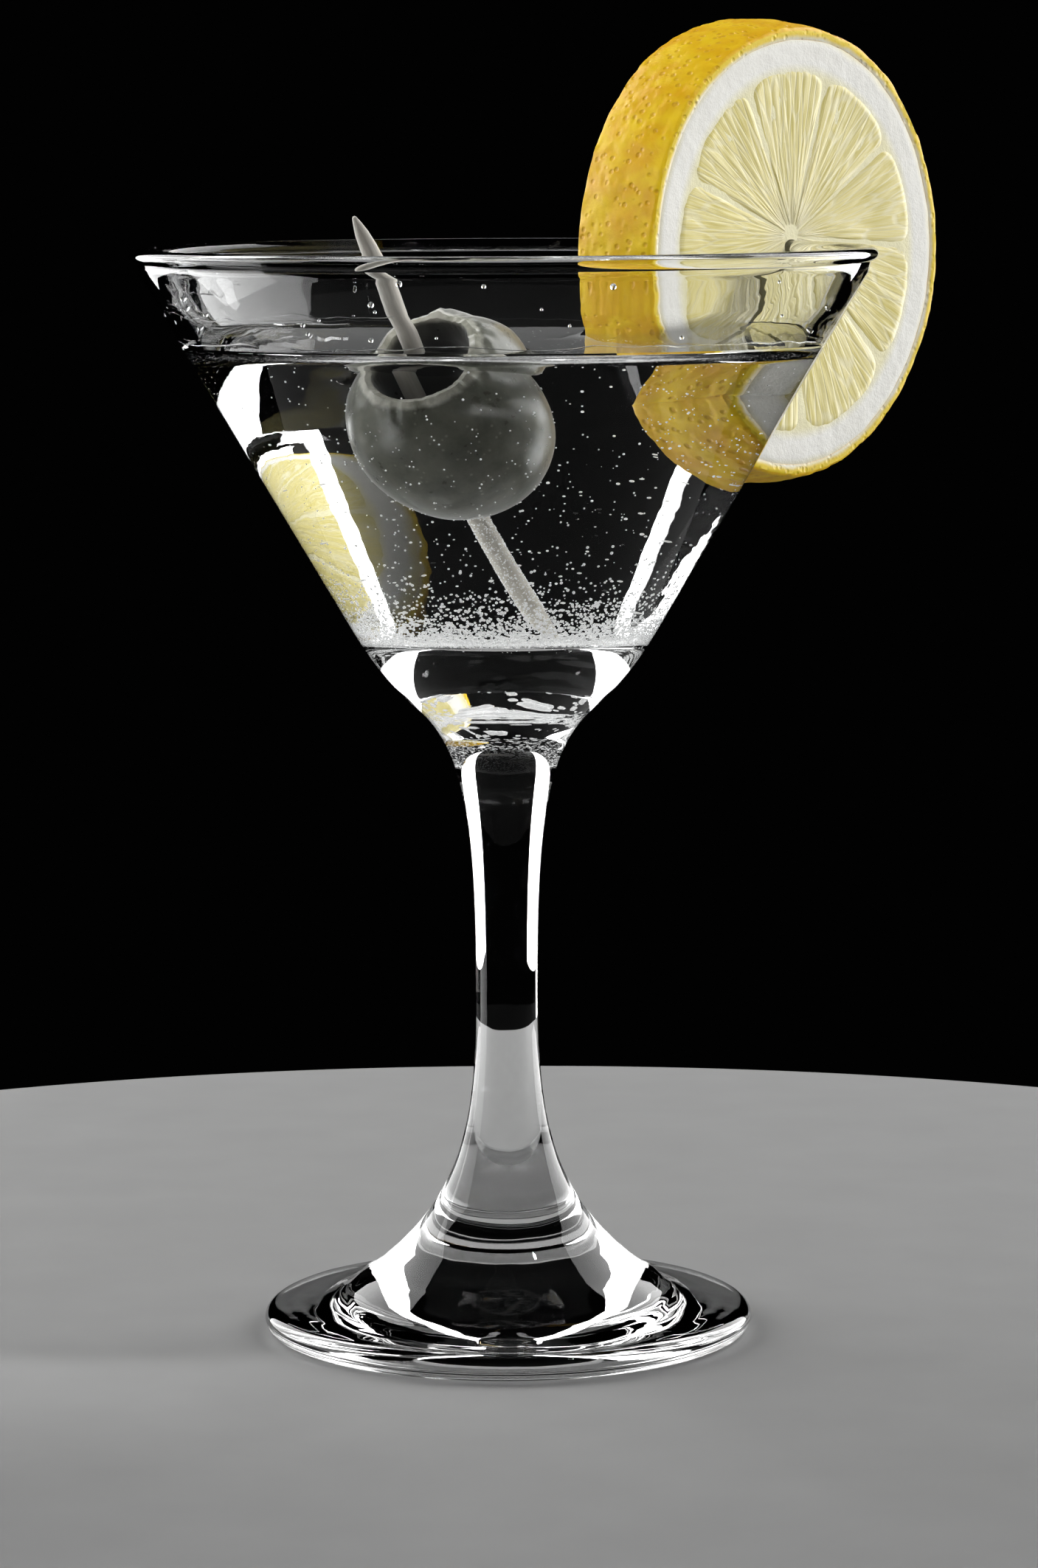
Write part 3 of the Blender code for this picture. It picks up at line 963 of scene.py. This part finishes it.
olive_finish, shader, start = new_finish("olive_skin", Sheen_Weight=1.0, Sheen_Roughness=0.32)
local, x, y, z = own_place(start, OLIVE_CENTRE, olive_matrix.to_euler())
radius = from_axis(x, y)
cloud = rough(start, local, 260.0, 4.0, 0.6)
speck = start.node("TexVoronoi", None, {"Vector": local, "Scale": 700.0})
skin = mix_colours(rise(cloud, 0.3, 0.7), *OLIVE_GREENS)
skin = mix_colours((1 - rise(speck, 0.05, 0.2)) * 0.4, skin, OLIVE_SPECK)
flesh = mix_colours(rise(cloud, 0.35, 0.62), *OLIVE_CUT)
bowed = z - radius * 0.35
cut = rise(bowed + cloud * 0.0012, 0.0083, 0.0091)
# the mask of the pit's hollow, which gets the painted shade
inside = 1 - rise(radius + z * 0.10, 0.0067, 0.0073)
colour = mix_colours(cut, skin, flesh)
colour = mix_colours(inside, colour, PIT_PAINTED_SHADE)
feed(shader, Base_Color=colour, Roughness=cloud * 0.25 + 0.18,
     Normal=bump(start, cloud + speck * 0.3, 0.25, 0.0002))
finish_piece(olive, olive_finish, "olive_skin", "olive")

# %% [markdown]
# ## The pick
#
# A cocktail pick is a turned splinter of pale wood, pointed at both ends. It is
# drawn as an outline and spun, and its grain runs along it.

# %% Pick
POINT_LENGTH = 0.0075         # how far back from its tips the pick is full width


def pick_outline():
    """The pick about its own axis, its middle at the origin."""
    half = (PICK_TOP - PICK_BOTTOM).length / 2
    straight = half - POINT_LENGTH
    end = [(0.0, half), (0.0002, half - 0.00005), (0.0003, half - 0.0002),
           (0.45 * PICK_RADIUS, half - 0.0012), (0.72 * PICK_RADIUS, half - 0.0028),
           (0.9 * PICK_RADIUS, half - 0.0050), (PICK_RADIUS, straight)]
    middle = [(PICK_RADIUS, straight - 2 * straight * i / 40) for i in range(1, 40)]
    return end + middle + [(radius, -z) for radius, z in reversed(end)]


def whittle(point):
    """Long flats and slight waves, as a split and turned stick has."""
    turn = math.atan2(point.y, point.x)
    grain = noise.noise(Vector((1.6 * math.cos(turn), 1.6 * math.sin(turn), point.z * 60)))
    grow = 1 + 0.07 * grain
    return Vector((point.x * grow, point.y * grow, point.z))


pick = turn_outline("pick_wood", pick_outline(), 32)
move_points(pick, whittle)
set_down(pick, pick_matrix)

# %% Pick finish
WOODS = ((0.66, 0.60, 0.49), (0.96, 0.93, 0.86))

wood, shader, start = new_finish("pale_wood", Sheen_Weight=0.8)
_, x, y, z = own_place(start, pick_centre, pick_matrix.to_euler())
fibre_place = start.node("CombineXYZ", None, {0: x, 1: y, 2: z * 0.04})
grain = rough(start, fibre_place, 2600.0, 3.0, 0.6)
feed(shader, Base_Color=mix_colours(grain, *WOODS),
     Roughness=grain * 0.3 + 0.35, Normal=bump(start, grain, 0.5, 0.0001))
finish_piece(pick, wood, "pale_wood", "pick")

# %% [markdown]
# ## Bubbles
#
# Fine bubbles cling to everything under the surface, and thousands lie on the
# bowl's floor. A small ball is modelled, once coarse and once finer, and each kind
# of bubble is one joined mesh of copies. Its places are drawn with a seeded random
# generator, so they are the same each time.

# %% Balls, and places for them
def ball(subdivisions):
    """A small ball's points and faces, to be repeated."""
    bpy.ops.object.select_all(action="DESELECT")
    bpy.ops.mesh.primitive_ico_sphere_add(subdivisions=subdivisions, radius=1.0)
    piece = bpy.context.object
    points = np.array([v.co for v in piece.data.vertices], float)
    faces = np.array([f.vertices for f in piece.data.polygons], int)
    bpy.data.objects.remove(piece, do_unlink=True)
    return points, faces


COARSE_BALL = ball(1)
FINE_BALL = ball(2)
COARSE_ABOVE = 600            # a piece of more balls than this uses the coarse one


def joined_balls(name, spots):
    """One mesh of many balls; a spot is (centre, radius)."""
    points, faces = COARSE_BALL if len(spots) > COARSE_ABOVE else FINE_BALL
    centres = np.array([centre for centre, radius in spots], float)
    radii = np.array([radius for centre, radius in spots], float)
    every = (points[None] * radii[:, None, None] + centres[:, None]).reshape(-1, 3)
    joined = (faces[None] + (np.arange(len(spots)) * len(points))[:, None, None]).reshape(-1, 3)
    mesh = bpy.data.meshes.new(name)
    mesh.from_pydata(every.tolist(), [], joined.tolist())
    mesh.shade_smooth()
    piece = bpy.data.objects.new(name, mesh)
    bpy.context.scene.collection.objects.link(piece)
    return piece


def gather(count, propose):
    """Collect spots until there are enough; propose gives one, or None to try again."""
    spots = []
    while len(spots) < count:
        spot = propose()
        if spot:
            spots.append(spot)
    return spots


def wall_radius(z):
    """Radius of the bowl's inside at a height."""
    outline = inner_outline()[1:]
    for (r0, z0), (r1, z1) in zip(outline, outline[1:]):
        if z0 <= z <= z1 and z1 > z0:
            return r0 + (r1 - r0) * (z - z0) / (z1 - z0)
    return BOWL_FLOOR_RADIUS


def ring_place(turn, radius, z):
    """A point at an angle and a distance from the glass's axis."""
    return Vector((radius * math.cos(turn), radius * math.sin(turn), z))


def clear_of_garnish(point):
    """True where a bubble or droplet touches neither olive, wheel nor pick."""
    return min(beyond_olive(point), beyond_wheel(point), beyond_pick(point)) > 0.0003


# %% Where the bubbles lie
draw = random.Random(11)


def any_turn():
    """A random angle round the axis."""
    return draw.uniform(0, 2 * math.pi)


def any_way():
    """A random vector, as likely to point one way as another."""
    return Vector((draw.gauss(0, 1), draw.gauss(0, 1), draw.gauss(0, 1)))


def floor_spot():
    """On the bowl's floor, or heaped near it against the wall."""
    size = draw.uniform(0.00009, 0.00025)
    height = min(draw.expovariate(1 / 0.0024), 0.014)
    z = BOWL_FLOOR_Z + size + height
    turn = any_turn()
    reach = wall_radius(z) - size
    if height < 0.0009:
        reach *= math.sqrt(draw.random())
    point = ring_place(turn, reach, z)
    return (point, size) if clear_of_garnish(point) else None


def wall_spot():
    """On the wall, fewer towards the surface."""
    z = draw.uniform(BOWL_FLOOR_Z + 0.006, DRINK_Z - 0.0005)
    if draw.random() > 1.15 - (z - BOWL_FLOOR_Z) / 0.045:
        return None
    size = draw.uniform(0.00006, 0.00017)
    point = ring_place(any_turn(), wall_radius(z) - size * 0.9, z)
    return (point, size) if clear_of_garnish(point) else None


def free_spot():
    """Anywhere in the drink, more of them low down."""
    z = BOWL_FLOOR_Z + 0.001 + (DRINK_Z - BOWL_FLOOR_Z - 0.002) * draw.random() ** 1.4
    point = ring_place(any_turn(), (wall_radius(z) - 0.001) * math.sqrt(draw.random()), z)
    return (point, draw.uniform(0.00006, 0.00018)) if clear_of_garnish(point) else None


def olive_spot():
    """On the olive's skin, below the surface and away from the mouth."""
    way = any_way().normalized()
    local = Vector((way.x * OLIVE_RADIUS, way.y * OLIVE_RADIUS, way.z * OLIVE_HALF))
    point = olive_matrix @ (local * 1.006)
    wet = local.z < 0.0090 and point.z < DRINK_Z - 0.0006
    return (point, draw.uniform(0.00006, 0.00013)) if wet else None


def pick_spot():
    """On the pick, where it is under the surface and outside the olive."""
    middle = PICK_TOP + (PICK_BOTTOM - PICK_TOP) * draw.random() ** 0.8
    taper = min(1.0, (PICK_BOTTOM - middle).length / 0.0060 + 0.25)
    point = middle + any_way().cross(pick_axis).normalized() * PICK_RADIUS * taper
    wet = point.z < DRINK_Z - 0.0005 and beyond_olive(point) > 0.0
    return (point, draw.uniform(0.00005, 0.00010)) if wet else None


def lemon_spot():
    """On the part of the lemon wheel that is under the surface and inside the bowl."""
    turn = any_turn()
    z = draw.uniform(-WHEEL_HALF, WHEEL_HALF)
    radius = wheel_radius(z) * wheel_scale(turn)
    if draw.random() < 0.3:
        radius *= math.sqrt(draw.random())
        z = WHEEL_HALF + 0.0002
    point = wheel_matrix @ ring_place(turn, radius, z)
    inside = math.hypot(point.x, point.y) < wall_radius(min(point.z, LIP_Z - 0.002)) - 0.0003
    wet = BOWL_FLOOR_Z < point.z < DRINK_Z - 0.0008 and inside
    return (point, draw.uniform(0.00006, 0.00015)) if wet else None


bubbles = {"bubbles_floor": gather(9000, floor_spot), "bubbles_wall": gather(620, wall_spot),
           "bubbles_free": gather(340, free_spot), "bubbles_olive": gather(190, olive_spot),
           "bubbles_pick": gather(1500, pick_spot), "bubbles_lemon": gather(150, lemon_spot)}
print("bubbles:", sum(len(spots) for spots in bubbles.values()))

# %% [markdown]
# A bubble this small shows as a white spark, because it bends light from every side
# towards the eye. A bright, smooth white shell with a faint painted glow stands in for
# that light, with little noise.

# %% Bubble finish and pieces
SPARKLES = ((0.95, 0.96, 0.96), (1.0, 1.0, 1.0))

# the faint white emission is a painted glow: the bubbles shine a little by themselves, though
# they are no lamps
sparkle, shader, start = new_finish("bubble_painted_glow", IOR=1.33, Emission_Strength=0.3,
                                    Emission_Color=(1.0, 1.0, 1.0, 1.0))
mix = rough(start, object_place(start), 900.0, 1.0, 0.5)
feed(shader, Base_Color=mix_colours(mix, *SPARKLES), Roughness=mix * 0.2 + 0.12)
for name, spots in bubbles.items():
    finish_piece(joined_balls(name, spots), sparkle, "clear_drink")

# %% [markdown]
# ## Wet marks
#
# When the drink was poured it wetted the bowl. A thin film still edges the wall just
# above the surface, ending in a wavy bead, and droplets have stayed below the rim.

# %% Film edge and droplets
def film_line(name, low_turn, high_turn, height, wander, thickness):
    """A thin bead along the inner wall, its height wandering with the angle."""
    route = bpy.data.curves.new(name, "CURVE")
    route.dimensions = "3D"
    route.bevel_depth = thickness
    route.bevel_resolution = 1
    route.use_fill_caps = True
    line = route.splines.new("POLY")
    steps = int((high_turn - low_turn) * 60)
    line.points.add(steps)
    for i, knot in enumerate(line.points):
        turn = low_turn + (high_turn - low_turn) * i / steps
        way = Vector((math.cos(turn), math.sin(turn), height * 100))
        z = height + wander * (noise.noise(way * 3) + 0.4 * noise.noise(way * 11))
        knot.co = (*ring_place(turn, wall_radius(z) - thickness * 0.4, z), 1.0)
        knot.radius = 0.8 + 0.5 * noise.noise(way * 7)
    piece = bpy.data.objects.new(name, route)
    bpy.context.scene.collection.objects.link(piece)
    select_only(piece)
    bpy.ops.object.convert(target="MESH")
    bpy.ops.object.shade_smooth()
    return bpy.context.object


wet_mark = clear_finish("wet_mark", DRINK_IOR, 600.0, 0.1)
finish_piece(film_line("film_edge", 1.9, 8.0, WET_Z + 0.0007, 0.0008, 0.00009),
             wet_mark, "clear_drink")
finish_piece(film_line("film_upper", 2.6, 4.4, WET_Z + 0.0044, 0.0012, 0.00006),
             wet_mark, "clear_drink")


def droplet_spot():
    """Partly sunk in the inner wall, between the film and the lip."""
    turn = any_turn()
    z = draw.uniform(WET_Z + 0.0015, LIP_Z - 0.0022)
    size = draw.uniform(0.00012, 0.00042)
    point = ring_place(turn, wall_radius(z) - size * 0.3, z)
    return (point, size) if clear_of_garnish(point) else None


finish_piece(joined_balls("droplets", gather(46, droplet_spot)), wet_mark, "clear_drink")
